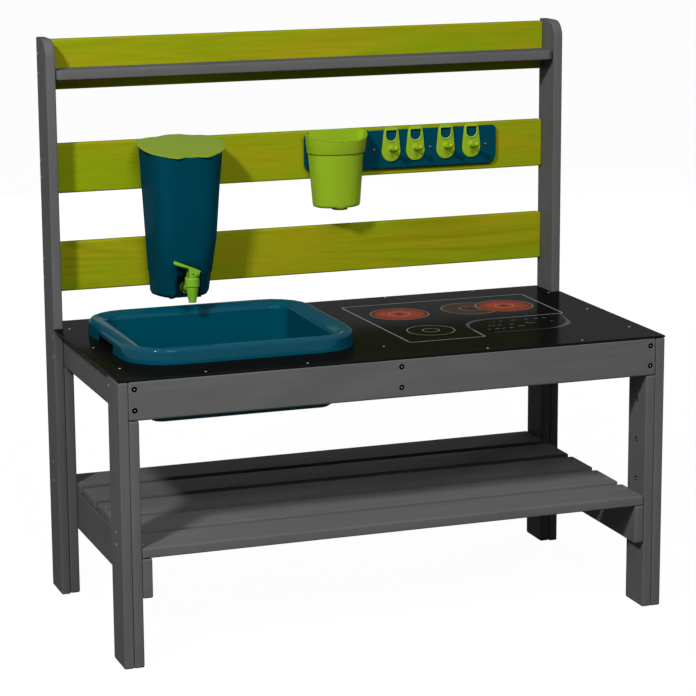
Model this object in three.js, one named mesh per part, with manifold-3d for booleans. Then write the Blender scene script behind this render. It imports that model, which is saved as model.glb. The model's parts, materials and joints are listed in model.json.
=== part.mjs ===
// Wooden mud kitchen for children: a stained pine frame with a black worktop, a lift-out wash basin,
// a water tank with a working lever tap, a hook rail with hooks and a cup, and shelves above and below.
// Millimetres. +X runs to the right of someone standing at the front, +Y to the back, +Z up.
// The origin lies on the floor under the middle of the worktop.

import * as THREE from "three";
import { mergeVertices } from "three/addons/utils/BufferGeometryUtils.js";
import Module from "manifold-3d";

const wasm = await Module();
wasm.setup();

// Overall sizes of the frame
const width = 1000;
const depth = 520;
const height = 1020;
const worktopHeight = 500;
const worktopThickness = 4;

// Boards
const board = 17.5;
const legWidth = 71;
const arris = 2.5;
const boardCorner = 4;
const postCrownRadius = 30;
const apronHeight = 67;
const backRailHeight = 90;
const backRailAboveWorktop = 58;
const backRailBelowPostTop = 4;
const middleRailShare = 0.479;
const topShelfDepth = 55;
const topShelfBelowPostTop = 55;
const topShelfCorner = 14;
const lowerRailBottom = 121;
const lowerRailHeight = 70;
const slatGap = 17.5;
const slatCount = 5;

// Worktop sheet
const sheetArris = 0.6;
const postNotchGap = 0.3;
const hobBayMargin = 16;

// Clearances
const gap = 0.3;
const overrun = 4;

// Wash basin
const basinWidth = 420;
const basinLeftMargin = 48;
const basinFrontMargin = 83;
const basinBackMargin = 61;
const basinCorner = 82;
const basinBowlCorner = 28;
const basinRimHeight = 27;
const basinBelowWorktop = 106;
const basinWall = 2.5;
const basinRimWidth = 36;
const basinRimDrop = 6;
const basinRimRadius = 8;
const basinSkirtFlare = 1.5;
const basinShoulder = 7;
const basinTaper = 4;
const basinFloorRadius = 18;
const basinFloorRise = 1.5;
const basinCutoutInset = 26;
const gripLength = 104;
const gripForward = 5;
const gripHeight = 13;
const gripCorner = 6;

// Water tank
const tankLeftOfBasin = 13.5;
const tankStandoff = 10;
const tankPadWidth = 50;
const tankPadHeight = 40;
const tankPadBelowMouth = 14;
const tankFootPadAboveBand = 10;
const tankAboveWorktop = 44;
const tankMouthSlope = 0.2;
const tankMouthHalf = 71;
const tankMouthDepth = 118;
const tankBaseHalf = 55;
const tankBaseDepth = 78;
const tankDepthBulge = 0.8;
const tankSquareness = 0.52;
const tankSquareFrom = 0.38;
const tankWall = 2.5;
const tankBackCorner = 12;
const tankBandHeight = 46;
const tankBandStep = 1.2;
const tankBaseRadius = 9;
const tankFootHeight = 1.5;
const tankFootWidth = 7;
const tankFootDepth = 9;
const recessWidth = 44;
const recessDepth = 21;
const tankScrewSpacing = 30;
const tankMouthAboveRail = 93;

// Tank lid
const lidThickness = 3;
const lidHalf = 80;
const lidDepth = 131;
const lidRailGap = 1;
const lidPlugDepth = 8;
const lidPlugWall = 2;
const lidPlugGap = 0.8;
const lidPlugTaper = 1.5;

// Tap
const shankHeight = 19.5;
const shankRadius = 6;
const shankInside = 11;
const washerRadius = 11;
const washerThickness = 2;
const flangeRadius = 11.5;
const flangeThickness = 3;
const tapReach = 42;
const barrelRadius = 11;
const barrelShoulder = 21;
const spigotRadius = 9.8;
const spigotHeight = 14;
const nozzleRadius = 7;
const nozzleDrop = 5.4;
const spigotAboveShank = 9;
const nozzleBore = 4.8;
const chamberRadius = 7.4;
const seatHeight = 8;
const collarRadius = 13.2;
const collarHeight = 16;
const collarRoof = 2;
const nutAcross = 20;
const nutThickness = 6;
const stemRadius = 2.8;
const stemHead = 8;
const stemHeadThickness = 5;
const stemHeadAbovePin = 3;
const sealRadius = 6.2;
const sealHeight = 6;
const pinRadius = 1.5;
const pinAboveCollar = 7;
const leverWidth = 18;
const leverThickness = 4;
const leverTipReach = 38;
const leverHeelReach = 14;
const leverRise = 23;
const leverTipWidth = 12;
const leverBlockLeft = 8;
const leverBlockBelowPin = 6.7;
const leverSlotMargin = 2.3;
const leverBlockAbovePin = 5;

// Hook rail, hooks and cup
const hookRailLength = 387;
const hookRailCentreX = 189.5;
const hookRailHeight = 72.5;
const hookRailAboveRail = 13;
const hookRailThickness = 3.5;
const hookRailStandoff = 5;
const hookRailTopCorner = 9;
const hookRailFootCorner = 17;
const hookRailArris = 1;
const hookRailLip = 3;
const bossRadius = 6;
const railScrewSpacing = 113.5;
const railScrewFirst = 25;
const screwHeadRadius = 3.2;
const screwHeadThickness = 2.2;
const screwShankRadius = 1.8;
const screwLength = 22;
const screwBite = 0.2;
const tankScrewHold = 11.5;
const hookPlaces = [168, 217, 278.5, 331];
const hookWidth = 38.5;
const hookHeight = 65;
const hookThickness = 3;
const hookBridge = 5;
const hookTopCorner = 9;
const hookLegThickness = 2.4;
const hookLegLength = 14;
const windowWidth = 24.5;
const windowHeight = 22;
const windowTopCorner = 2;
const windowRim = 1.6;
const windowRimWidth = 1.5;
const pegDrop = 40;
const pegRadius = 4;
const pegReach = 28;
const pegTipRise = 5;
const pegTipRadius = 4.4;
const cupCentreX = 53;
const cupMouthHalf = 60;
const cupBaseHalf = 46;
const cupMouthDepth = 58;
const cupBaseDepth = 48;
const cupHeight = 142;
const cupAboveRail = 92;
const cupMouthSlope = 0.3;
const cupSquareness = 0.68;
const cupWall = 2.2;
const cupCollarHeight = 40;
const cupCollarStep = 1.6;
const cupBackCorner = 12;
const cupBaseRadius = 6;
const cupHangerWidth = 60;
const cupHangerDrop = 14;
const cupBossRadius = 15;
const cupBossHeight = 3;
const cupBossShare = 0.66;

// Counts of facets
const arcSteps = 1;
const roundSides = 24;
const fineSides = 12;
const ringCornerSteps = 5;
const frontSteps = 18;

// Places that follow from the sizes
const front = -depth / 2;
const back = depth / 2;
const worktopUnderside = worktopHeight - worktopThickness;
const apronBottom = worktopUnderside - apronHeight;
const innerSpan = width - 2 * board;
const railFront = back - board;
const slatBottom = lowerRailBottom + lowerRailHeight;
const slatWidth = (depth - (slatCount - 1) * slatGap) / slatCount;
const backRailLowest = worktopHeight + backRailAboveWorktop;
const backRailTop = height - backRailBelowPostTop - backRailHeight;
const backRailFreeRoom = backRailTop - backRailLowest - 2 * backRailHeight;
const backRailMiddle = backRailLowest + backRailHeight + middleRailShare * backRailFreeRoom;
const basinCentreX = basinLeftMargin + (basinWidth - width) / 2;
const basinDepth = depth - basinFrontMargin - basinBackMargin;
const basinCentreY = front + basinFrontMargin + basinDepth / 2;
const tankCentreX = basinCentreX - tankLeftOfBasin;
const tankBottom = worktopHeight + tankAboveWorktop;
const tankMouthBack = backRailMiddle + tankMouthAboveRail;
const hookRailLeft = hookRailCentreX - hookRailLength / 2;
const hookRailBottom = backRailMiddle + hookRailAboveRail;
const hookRailTop = hookRailBottom + hookRailHeight;
const cupMouthBack = backRailMiddle + cupAboveRail;
const cupBottom = cupMouthBack - cupHeight;

const colours = {
  greyWood: { color: 0x5c5d60, roughness: 0.6, metalness: 0 },
  limeWood: { color: 0x94a91e, roughness: 0.55, metalness: 0 },
  worktop: { color: 0x17191a, roughness: 0.35, metalness: 0 },
  basin: { color: 0x00566e, roughness: 0.15, metalness: 0 },
  teal: { color: 0x034354, roughness: 0.35, metalness: 0 },
  lime: { color: 0x86ad1f, roughness: 0.35, metalness: 0 },
  seal: { color: 0xd9d9d4, roughness: 0.7, metalness: 0 },
  steel: { color: 0x9a9c9e, roughness: 0.35, metalness: 0.9 },
};

const kitchen = new THREE.Group();

// Adds one named piece to the kitchen, at a place
function add(name, geometry, colour, place = [0, 0, 0]) {
  const material = new THREE.MeshStandardMaterial(colours[colour]);
  const mesh = new THREE.Mesh(geometry, material);
  mesh.name = name;
  mesh.position.set(...place);
  kitchen.add(mesh);
  return mesh;
}

// Solids that are joined and cut

function solidOf(geometry) {
  const bare = geometry.index ? geometry.clone() : geometry;
  bare.deleteAttribute("normal");
  bare.deleteAttribute("uv");
  const merged = mergeVertices(bare);
  return new wasm.Manifold(new wasm.Mesh({
    numProp: 3,
    vertProperties: new Float32Array(merged.attributes.position.array),
    triVerts: new Uint32Array(merged.index.array),
  }));
}

function geometryOf(solid) {
  const mesh = solid.getMesh();
  const geometry = new THREE.BufferGeometry();
  geometry.setAttribute("position", new THREE.BufferAttribute(mesh.vertProperties, 3));
  geometry.setIndex(new THREE.BufferAttribute(mesh.triVerts, 1));
  return geometry;
}

function joined(...solids) {
  return solids.reduce((sum, next) => sum.add(next));
}

// Turns a shape's plane, drawn in X and Y and pushed along Z, to face along X or along Y, exactly
const faceX = new THREE.Matrix4().set(0, 0, 1, 0, 1, 0, 0, 0, 0, 1, 0, 0, 0, 0, 0, 1);
const faceY = new THREE.Matrix4().set(1, 0, 0, 0, 0, 0, -1, 0, 0, 1, 0, 0, 0, 0, 0, 1);

// Outlines

function roundedOutline(wide, high, radius) {
  const x = wide / 2;
  const y = high / 2;
  const outline = new THREE.Shape();
  outline.moveTo(x, y - radius);
  outline.absarc(x - radius, y - radius, radius, 0, Math.PI / 2);
  outline.absarc(radius - x, y - radius, radius, Math.PI / 2, Math.PI);
  outline.absarc(radius - x, radius - y, radius, Math.PI, 1.5 * Math.PI);
  outline.absarc(x - radius, radius - y, radius, 1.5 * Math.PI, 2 * Math.PI);
  return outline;
}

// A plank from an outline, centred through its thickness, with its face edges rounded
function plankFrom(outline, thickness, edge, facing, curveSegments = arcSteps, bevelSegments = 2) {
  const geometry = new THREE.ExtrudeGeometry(outline, {
    depth: thickness - 2 * edge,
    bevelThickness: edge,
    bevelSize: edge,
    bevelOffset: -edge,
    bevelSegments,
    curveSegments,
  });
  geometry.translate(0, 0, edge - thickness / 2);
  if (facing) geometry.applyMatrix4(facing);
  return geometry;
}

// A straight board: its wide face looks along X, Y or Z
function plank(wide, high, facing) {
  return plankFrom(roundedOutline(wide, high, boardCorner), board, arris, facing);
}

function boxSolid(x, y, z, place) {
  return solidOf(new THREE.BoxGeometry(x, y, z)).translate(place);
}

// Round solids: a cylinder along Y, one along Z, and a profile turned about Z
function cylinderY(radius, length, place, sides = roundSides) {
  return solidOf(new THREE.CylinderGeometry(radius, radius, length, sides)).translate(place);
}

function cylinderZ(radius, length, place, sides = roundSides) {
  const geometry = new THREE.CylinderGeometry(radius, radius, length, sides);
  return solidOf(geometry.applyMatrix4(faceY)).translate(place);
}

// The profile runs from the axis at the bottom, up the outside, to the axis at the top
function turnedZ(profile, sides = roundSides) {
  const points = profile.map(([radius, z]) => new THREE.Vector2(radius, z));
  return new THREE.LatheGeometry(points, sides).applyMatrix4(faceY);
}

// A skin over a list of rings with equal counts of points, closed by a fan at each end.
// The rings run outward over the top, down the outside and inward under the bottom.
function skin(rings) {
  const count = rings[0].length;
  const positions = [];
  const faces = [];
  for (const ring of rings) for (const point of ring) positions.push(...point);
  for (let i = 0; i + 1 < rings.length; i += 1) {
    for (let j = 0; j < count; j += 1) {
      const k = (j + 1) % count;
      const [a, b, c, d] = [i * count + j, (i + 1) * count + j, (i + 1) * count + k, i * count + k];
      faces.push(a, b, c, a, c, d);
    }
  }
  for (const [ring, from, turn] of [[rings[0], 0, 1], [rings.at(-1), (rings.length - 1) * count, -1]]) {
    const centre = positions.length / 3;
    positions.push(...[0, 1, 2].map((axis) => ring.reduce((sum, p) => sum + p[axis], 0) / count));
    for (let j = 0; j < count; j += 1) {
      const pair = [from + j, from + ((j + 1) % count)];
      if (turn < 0) pair.reverse();
      faces.push(centre, ...pair);
    }
  }
  const geometry = new THREE.BufferGeometry();
  geometry.setAttribute("position", new THREE.Float32BufferAttribute(positions, 3));
  geometry.setIndex(faces);
  return geometry;
}

// One level ring of a rounded rectangle
function rectangleRing(halfX, halfY, radius, z) {
  const ring = [];
  for (const [sx, sy, start] of [[1, 1, 0], [-1, 1, 1], [-1, -1, 2], [1, -1, 3]]) {
    for (let i = 0; i <= ringCornerSteps; i += 1) {
      const angle = (start + i / ringCornerSteps) * Math.PI / 2;
      ring.push([
        sx * (halfX - radius) + radius * Math.cos(angle),
        sy * (halfY - radius) + radius * Math.sin(angle),
        z,
      ]);
    }
  }
  return ring;
}

// One ring with a flat back on Y = 0 and a bowed front toward -Y, its height falling toward the front.
// A squareness of 1 makes the front half an ellipse, and less draws it out toward a rectangle.
function bowedRing(half, deep, corner, squareness, z, inset = 0, slope = 0) {
  const ring = [];
  const radius = corner - inset;
  const side = half - inset;
  const bow = deep - inset - corner;
  const centre = side - radius;
  const push = (x, y) => ring.push([x, y, z + slope * y]);
  const drawnOut = (share) => Math.sign(share) * Math.abs(share) ** squareness;
  for (let i = 0; i <= ringCornerSteps; i += 1) {
    const angle = (i / ringCornerSteps) * Math.PI / 2;
    push(centre + radius * Math.cos(angle), -corner + radius * Math.sin(angle));
  }
  for (let i = 0; i <= ringCornerSteps; i += 1) {
    const angle = (1 + i / ringCornerSteps) * Math.PI / 2;
    push(-centre + radius * Math.cos(angle), -corner + radius * Math.sin(angle));
  }
  for (let i = 1; i < frontSteps; i += 1) {
    const angle = Math.PI * (1 + i / frontSteps);
    push(side * drawnOut(Math.cos(angle)), -corner + bow * drawnOut(Math.sin(angle)));
  }
  return ring;
}

// The two side frames: each leg is two boards face to face, the outer board of the rear leg
// running on up as the post of the back wall

function postOutline() {
  const half = legWidth / 2;
  const outline = new THREE.Shape();
  outline.moveTo(-half, 0);
  outline.lineTo(half, 0);
  outline.lineTo(half, height);
  outline.lineTo(postCrownRadius - half, height);
  outline.absarc(postCrownRadius - half, height - postCrownRadius, postCrownRadius, Math.PI / 2, Math.PI);
  return outline;
}

function sideFrame(side, hand) {
  const outerX = hand * (width - board) / 2;
  const innerX = outerX - hand * board;
  const railX = innerX - hand * board;
  const frontLegY = front + legWidth / 2;
  const rearLegY = back - legWidth / 2;
  const crownSteps = 4;
  add(`post_${side}`, plankFrom(postOutline(), board, arris, faceX, crownSteps), "greyWood",
    [outerX, rearLegY, 0]);
  add(`rear_inner_leg_${side}`, plank(legWidth, apronBottom, faceX), "greyWood",
    [innerX, rearLegY, apronBottom / 2]);
  add(`front_leg_${side}`, plank(legWidth, worktopUnderside, faceX), "greyWood",
    [outerX, frontLegY, worktopUnderside / 2]);
  add(`front_inner_leg_${side}`, plank(legWidth, apronBottom, faceX), "greyWood",
    [innerX, frontLegY, apronBottom / 2]);
  add(`upper_side_rail_${side}`, plank(depth - 2 * board, apronHeight, faceX), "greyWood",
    [innerX, 0, apronBottom + apronHeight / 2]);
  add(`lower_side_rail_${side}`, plank(depth, lowerRailHeight, faceX), "greyWood",
    [railX, 0, lowerRailBottom + lowerRailHeight / 2]);
}

// Front and rear aprons with the rail that ties them together between basin and hob
function aprons() {
  const z = apronBottom + apronHeight / 2;
  add("front_apron", plank(innerSpan, apronHeight, faceY), "greyWood", [0, front + board / 2, z]);
  add("rear_apron", plank(innerSpan, apronHeight, faceY), "greyWood", [0, back - board / 2, z]);
  add("centre_rail", plank(depth - 2 * board, apronHeight, faceX), "greyWood", [0, 0, z]);
}

// Lower shelf: slats laid across the two lower side rails
function lowerShelf() {
  const length = width - 4 * board;
  const pitch = slatWidth + slatGap;
  for (let i = 0; i < slatCount; i += 1) {
    add(`shelf_slat_${i + 1}`, plank(length, slatWidth, null), "greyWood",
      [0, front + slatWidth / 2 + i * pitch, slatBottom + board / 2]);
  }
}

// Back wall: three coloured rails between the posts
const railScrewPlaces = [0, 1, 2, 3].map((i) => hookRailLeft + railScrewFirst + i * railScrewSpacing);
const hookRailMiddle = (hookRailBottom + hookRailTop) / 2;
const screwDepth = screwLength - hookRailStandoff - hookRailThickness;
const tankScrewPlaces = [-1, 1].map((hand) => tankCentreX + hand * tankScrewSpacing / 2);
const tankScrewHeight = tankMouthBack - tankPadBelowMouth - tankPadHeight / 2;
const tankScrewLength = tankScrewHold + tankWall + tankStandoff;

function railWithHoles() {
  const holes = railScrewPlaces.map((x) => [x, hookRailMiddle, screwDepth])
    .concat(tankScrewPlaces.map((x) => [x, tankScrewHeight, tankScrewHold]));
  let rail = solidOf(plank(innerSpan, backRailHeight, faceY));
  const middle = backRailMiddle + backRailHeight / 2;
  for (const [x, z, bite] of holes) {
    const length = bite + gap + overrun;
    const y = overrun - length / 2;
    rail = rail.subtract(cylinderY(screwShankRadius + screwBite, length, [x, -board / 2 - y, z - middle], fineSides));
  }
  return geometryOf(rail);
}

function backWall() {
  const y = railFront + board / 2;
  add("back_rail_lower", plank(innerSpan, backRailHeight, faceY), "limeWood",
    [0, y, backRailLowest + backRailHeight / 2]);
  add("back_rail_middle", railWithHoles(), "limeWood", [0, y, backRailMiddle + backRailHeight / 2]);
  add("back_rail_top", plank(innerSpan, backRailHeight, faceY), "limeWood",
    [0, y, backRailTop + backRailHeight / 2]);
}

// Shelf board in front of the top rail, its front corners rounded in plan
function topShelf() {
  const x = innerSpan / 2;
  const outline = new THREE.Shape();
  const r = topShelfCorner;
  outline.moveTo(-x, 0);
  outline.lineTo(-x, r - topShelfDepth);
  outline.absarc(r - x, r - topShelfDepth, r, Math.PI, 1.5 * Math.PI);
  outline.absarc(x - r, r - topShelfDepth, r, 1.5 * Math.PI, 2 * Math.PI);
  outline.lineTo(x, 0);
  const cornerSteps = 2;
  add("top_shelf", plankFrom(outline, board, arris, null, cornerSteps), "greyWood",
    [0, railFront, height - topShelfBelowPostTop - board / 2]);
}

// Worktop sheet, notched round the posts and cut out for the basin. Two points on its edges
// part the hob's bay from the basin's, so that the bay is one flat face clear of the basin.
const basinPlace = [basinCentreX, basinCentreY, worktopHeight];

function worktop() {
  const x = width / 2;
  const notchX = x - board - postNotchGap;
  const notchY = back - legWidth - postNotchGap;
  const bayX = basinCentreX + basinWidth / 2 + hobBayMargin;
  const outline = new THREE.Shape();
  outline.moveTo(-x, front);
  outline.lineTo(bayX, front);
  outline.lineTo(x, front);
  outline.lineTo(x, notchY);
  outline.lineTo(notchX, notchY);
  outline.lineTo(notchX, back);
  outline.lineTo(bayX, back);
  outline.lineTo(-notchX, back);
  outline.lineTo(-notchX, notchY);
  outline.lineTo(-x, notchY);
  const cutout = roundedOutline(basinWidth - 2 * basinCutoutInset, basinDepth - 2 * basinCutoutInset,
    basinCornerAt(basinCutoutInset));
  const hole = new THREE.Path(cutout.getPoints(ringCornerSteps).reverse()
    .map((p) => new THREE.Vector2(p.x + basinPlace[0], p.y + basinPlace[1])));
  outline.holes.push(hole);
  add("worktop", plankFrom(outline, worktopThickness, sheetArris, null, arcSteps, 1), "worktop",
    [0, 0, worktopHeight - worktopThickness / 2]);
}

// Corner radius of the basin's plan at an inset from its outer edge
function basinCornerAt(inset) {
  const floorIn = basinRimWidth + basinTaper;
  const tightening = (basinCorner - basinBowlCorner) * inset / floorIn;
  return inset < floorIn ? basinCorner - tightening : Math.max(basinBowlCorner + floorIn - inset, basinWall);
}

// Wash basin: its skirt stands on the worktop and its bowl hangs through the cut-out
function basinProfile() {
  const rimIn = basinRimWidth;
  const floorIn = rimIn + basinTaper;
  const crown = basinRimHeight;
  const lip = crown - basinRimDrop;
  const bottom = -basinBelowWorktop;
  const wall = basinWall;
  const r = basinFloorRadius;
  const arc = (inset, z, radius, from, to, steps) => Array.from({ length: steps + 1 }, (_, i) => {
    const angle = from + (to - from) * i / steps;
    return [inset + radius * Math.cos(angle), z + radius * Math.sin(angle)];
  });
  const quarter = Math.PI / 2;
  const inside = [
    [floorIn + 2 * r, bottom + wall + basinFloorRise],
    ...arc(floorIn + r, bottom + wall + r, r, 3 * quarter, 2 * quarter, 4),
    [rimIn + basinShoulder - wall, lip - basinShoulder],
    [rimIn, lip],
    [rimIn - basinShoulder, lip + basinRimDrop / 3],
    [(rimIn + basinRimRadius) / 2, crown - basinRimDrop / 4],
  ];
  const over = arc(basinSkirtFlare + basinRimRadius, crown - basinRimRadius, basinRimRadius, quarter, 2 * quarter, 4);
  const skirt = [
    [0, 0],
    [wall, 0],
    ...arc(basinSkirtFlare + basinRimRadius, crown - basinRimRadius, basinRimRadius - wall,
      2 * quarter, quarter, 3),
  ];
  const outside = [
    [(rimIn + basinRimRadius) / 2, crown - basinRimDrop / 4 - wall],
    [rimIn - basinShoulder, lip + basinRimDrop / 3 - wall],
    [rimIn - wall / 2, lip - wall],
    [rimIn + basinShoulder - 2 * wall, lip - basinShoulder - wall],
    ...arc(floorIn + r, bottom + wall + r, r + wall, 2 * quarter, 3 * quarter, 4),
    [floorIn + 2 * r, bottom + basinFloorRise],
  ];
  return [...inside, ...over, ...skirt, ...outside];
}

function basin() {
  const rings = basinProfile().map(([inset, z]) => rectangleRing(
    basinWidth / 2 - inset, basinDepth / 2 - inset, basinCornerAt(inset), z));
  let bowl = solidOf(skin(rings));
  const outline = roundedOutline(gripLength, 2 * gripHeight, gripCorner);
  for (const hand of [-1, 1]) {
    const reach = 2 * (basinRimWidth - basinShoulder - basinWall);
    const cutter = solidOf(new THREE.ExtrudeGeometry(outline, {
      depth: reach, bevelEnabled: false, curveSegments: 3,
    }).applyMatrix4(faceX)).translate([-reach / 2 + hand * basinWidth / 2, -gripForward, 0]);
    bowl = bowl.subtract(cutter);
  }
  add("basin", geometryOf(bowl), "basin", basinPlace);
}

// Water tank: a tapered, bow-fronted tub, open at the top. Pads hold its back off the rails, and two
// screws go through the upper pad from inside. Its own values are heights above the floor, and Y is 0
// at its back. Its front is half an ellipse at the bottom and squarer from a share of its height up.
const tankRingShares = [0.72, 0.5, 0.38, 0.27];
const bandTop = tankBottom + tankBandHeight;

function tankShape(inset) {
  const tallness = tankMouthBack - tankBottom;
  const at = (z, extra = 0, slope = 0) => {
    const share = Math.max(0, (z - tankBottom) / tallness);
    const half = tankBaseHalf + (tankMouthHalf - tankBaseHalf) * share;
    const deep = tankBaseDepth + (tankMouthDepth - tankBaseDepth) * share ** tankDepthBulge;
    const squareness = 1 - (1 - tankSquareness) * Math.min(1, share / tankSquareFrom);
    const grow = slope && inset ? overrun : 0;
    return bowedRing(half - extra, deep - extra, tankBackCorner, squareness, z + grow, inset, slope);
  };
  const floor = tankBottom + inset;
  const sideRings = tankRingShares.map((share) => at(tankBottom + share * tallness));
  const rings = [
    at(tankMouthBack, 0, tankMouthSlope),
    ...sideRings,
    at(bandTop, 0),
    at(bandTop - tankBandStep, tankBandStep),
    at(floor + tankBaseRadius, tankBandStep),
    at(floor + tankBaseRadius * 0.3, tankBandStep + tankBaseRadius * 0.3),
    at(floor, tankBandStep + tankBaseRadius),
  ];
  return solidOf(skin(rings));
}

const tankPlace = [tankCentreX, railFront - tankStandoff, 0];
const tapWallY = recessDepth - tankBaseDepth;
const shankZ = tankBottom + shankHeight;

function tank() {
  const recess = (grow) => {
    const high = tankBandHeight + 2 * grow + overrun;
    const deep = tankBaseDepth;
    return boxSolid(recessWidth + 2 * grow, deep, high,
      [0, tapWallY + grow - deep / 2, bandTop + grow - high / 2]);
  };
  const feet = [-1, 1].map((hand) => boxSolid(tankFootWidth, tankFootDepth, 2 * tankFootHeight,
    [hand * (recessWidth / 2 + tankFootWidth / 2 + gap), tapWallY + tankFootDepth / 2, tankBottom]));
  const padReach = tankStandoff + tankWall / 2;
  const pads = [tankScrewHeight, bandTop + tankFootPadAboveBand + tankPadHeight / 2].map((z) => (
    boxSolid(tankPadWidth, padReach, tankPadHeight, [0, tankStandoff - padReach / 2, z])));
  const bore = cylinderY(shankRadius + gap, 2 * tankWall + overrun, [0, tapWallY + tankWall / 2, shankZ]);
  let body = tankShape(0).subtract(recess(0));
  body = joined(body, ...feet, ...pads).subtract(tankShape(tankWall).subtract(recess(tankWall))).subtract(bore);
  for (const x of tankScrewPlaces) {
    body = body.subtract(cylinderY(screwShankRadius + screwBite, 2 * (tankStandoff + overrun),
      [x - tankCentreX, 0, tankScrewHeight], fineSides));
  }
  add("tank_body", geometryOf(body), "teal", tankPlace);
}

// Half of the lid's wavy outline as shares of its half width and its depth, from the middle of its
// back edge, where it bulges over the pad, round to the finger notch in the middle of its front
const lidOutlineShares = [
  [0, 0], [0.17, 0.005], [0.3, 0.04], [0.44, 0.07], [0.62, 0.08], [0.84, 0.135], [0.965, 0.26], [1, 0.405],
  [0.96, 0.59], [0.84, 0.76], [0.57, 0.915], [0.37, 1], [0.27, 0.995], [0.15, 0.955], [0, 0.9],
];
const lidCurveSteps = 2;

function lid() {
  const right = lidOutlineShares.map(([x, y]) => [x * lidHalf, tankStandoff - lidRailGap - y * lidDepth]);
  const left = right.slice(1, -1).reverse().map(([x, y]) => [-x, y]);
  const corners = [...right, ...left].reverse().map(([x, y]) => new THREE.Vector3(x, y, 0));
  const curve = new THREE.CatmullRomCurve3(corners, true, "centripetal");
  const edge = curve.getPoints(lidCurveSteps * corners.length).slice(0, -1);
  const middle = tankStandoff - lidRailGap - lidDepth / 2;
  const ring = (z, inset) => edge.map(({ x, y }) => {
    const px = x * (1 - inset / lidHalf);
    const py = middle + (y - middle) * (1 - 2 * inset / lidDepth);
    return [px, py, z + tankMouthSlope * py];
  });
  const under = tankMouthBack + gap;
  const over = under + lidThickness;
  const plate = solidOf(skin([
    ring(over, 1.5 * lidThickness), ring(over - lidThickness / 6, lidThickness / 3), ring(over - lidThickness / 2, 0),
    ring(under + lidThickness / 3, 0), ring(under, lidThickness / 3), ring(under, 1.5 * lidThickness),
  ]));
  const plugRing = (z, inset) => bowedRing(tankMouthHalf, tankMouthDepth, tankBackCorner, tankSquareness, z,
    inset, tankMouthSlope);
  const plugIn = tankWall + lidPlugGap;
  const plug = solidOf(skin([
    plugRing(under + lidThickness / 2, plugIn), plugRing(under - lidPlugDepth, plugIn + lidPlugTaper),
  ])).subtract(solidOf(skin([
    plugRing(under + lidThickness / 4, plugIn + lidPlugWall),
    plugRing(under - lidPlugDepth - overrun, plugIn + lidPlugWall + lidPlugTaper),
  ])));
  add("tank_lid", geometryOf(joined(plate, plug)), "lime", tankPlace);
}

// Tap: a body through the tank's wall, held by a nut and sealed by a washer. The lever rocks on the
// collar and lifts the stem, whose soft seal leaves its seat over the nozzle.
const flangeY = tapWallY - washerThickness;
const tapY = flangeY - tapReach;
const barrelBottom = shankZ - barrelShoulder + nozzleDrop;
const nozzleTip = barrelBottom - nozzleDrop;
const spigotBottom = shankZ + spigotAboveShank;
const spigotTop = spigotBottom + spigotHeight;
const seatZ = nozzleTip + 2 * seatHeight;
const collarTop = spigotBottom + collarHeight;
const pinZ = collarTop + pinAboveCollar;

function tapBody() {
  const shankBack = tapWallY + shankInside;
  const shankLength = shankBack - tapY;
  const flange = cylinderY(flangeRadius, flangeThickness, [0, flangeY - flangeThickness / 2, shankZ]);
  const shank = cylinderY(shankRadius, shankLength, [0, shankBack - shankLength / 2, shankZ]);
  const barrel = solidOf(turnedZ([
    [0, nozzleTip], [nozzleRadius, nozzleTip], [nozzleRadius + gap, nozzleTip + nozzleDrop / 2],
    [barrelRadius, spigotBottom - nozzleDrop], [barrelRadius, spigotBottom],
    [spigotRadius, spigotBottom], [spigotRadius, spigotTop], [0, spigotTop],
  ])).translate([0, tapY, 0]);
  const chamberHeight = spigotTop - seatZ + overrun;
  const chamber = cylinderZ(chamberRadius, chamberHeight, [0, tapY, seatZ + chamberHeight / 2]);
  const spout = cylinderZ(nozzleBore, 2 * seatHeight + 2 * overrun, [0, tapY, nozzleTip + seatHeight]);
  const wayLength = shankLength + overrun;
  const way = cylinderY(shankRadius / 2, wayLength, [0, shankBack + overrun - wayLength / 2, shankZ]);
  const body = joined(flange, shank, barrel).subtract(chamber).subtract(spout).subtract(way);
  add("tap_body", geometryOf(body), "lime", tankPlace);
}

function tapFastening() {
  const washer = cylinderY(washerRadius, washerThickness, [0, tapWallY - washerThickness / 2, shankZ])
    .subtract(cylinderY(shankRadius + gap, 2 * washerThickness + overrun, [0, tapWallY, shankZ]));
  add("tap_washer", geometryOf(washer), "seal", tankPlace);
  const sides = 6;
  const corner = nutAcross / Math.sqrt(3);
  const nutY = tapWallY + tankWall + nutThickness / 2;
  const nut = cylinderY(corner, nutThickness, [0, nutY, shankZ], sides)
    .subtract(cylinderY(shankRadius + gap, nutThickness + overrun, [0, nutY, shankZ]));
  add("tap_nut", geometryOf(nut), "lime", tankPlace);
}

function tapCollar() {
  const cap = solidOf(turnedZ([
    [0, spigotBottom + gap], [collarRadius, spigotBottom + gap], [collarRadius, collarTop - collarRoof],
    [collarRadius - collarRoof / 2, collarTop], [0, collarTop],
  ])).translate([0, tapY, 0]);
  const inner = collarHeight - collarRoof;
  const thread = cylinderZ(spigotRadius + gap, inner + overrun,
    [0, tapY, collarTop - collarRoof - (inner + overrun) / 2]);
  const hole = cylinderZ(stemRadius + gap, 2 * collarRoof + overrun, [0, tapY, collarTop]);
  add("tap_collar", geometryOf(cap.subtract(thread).subtract(hole)), "lime", tankPlace);
}

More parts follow.
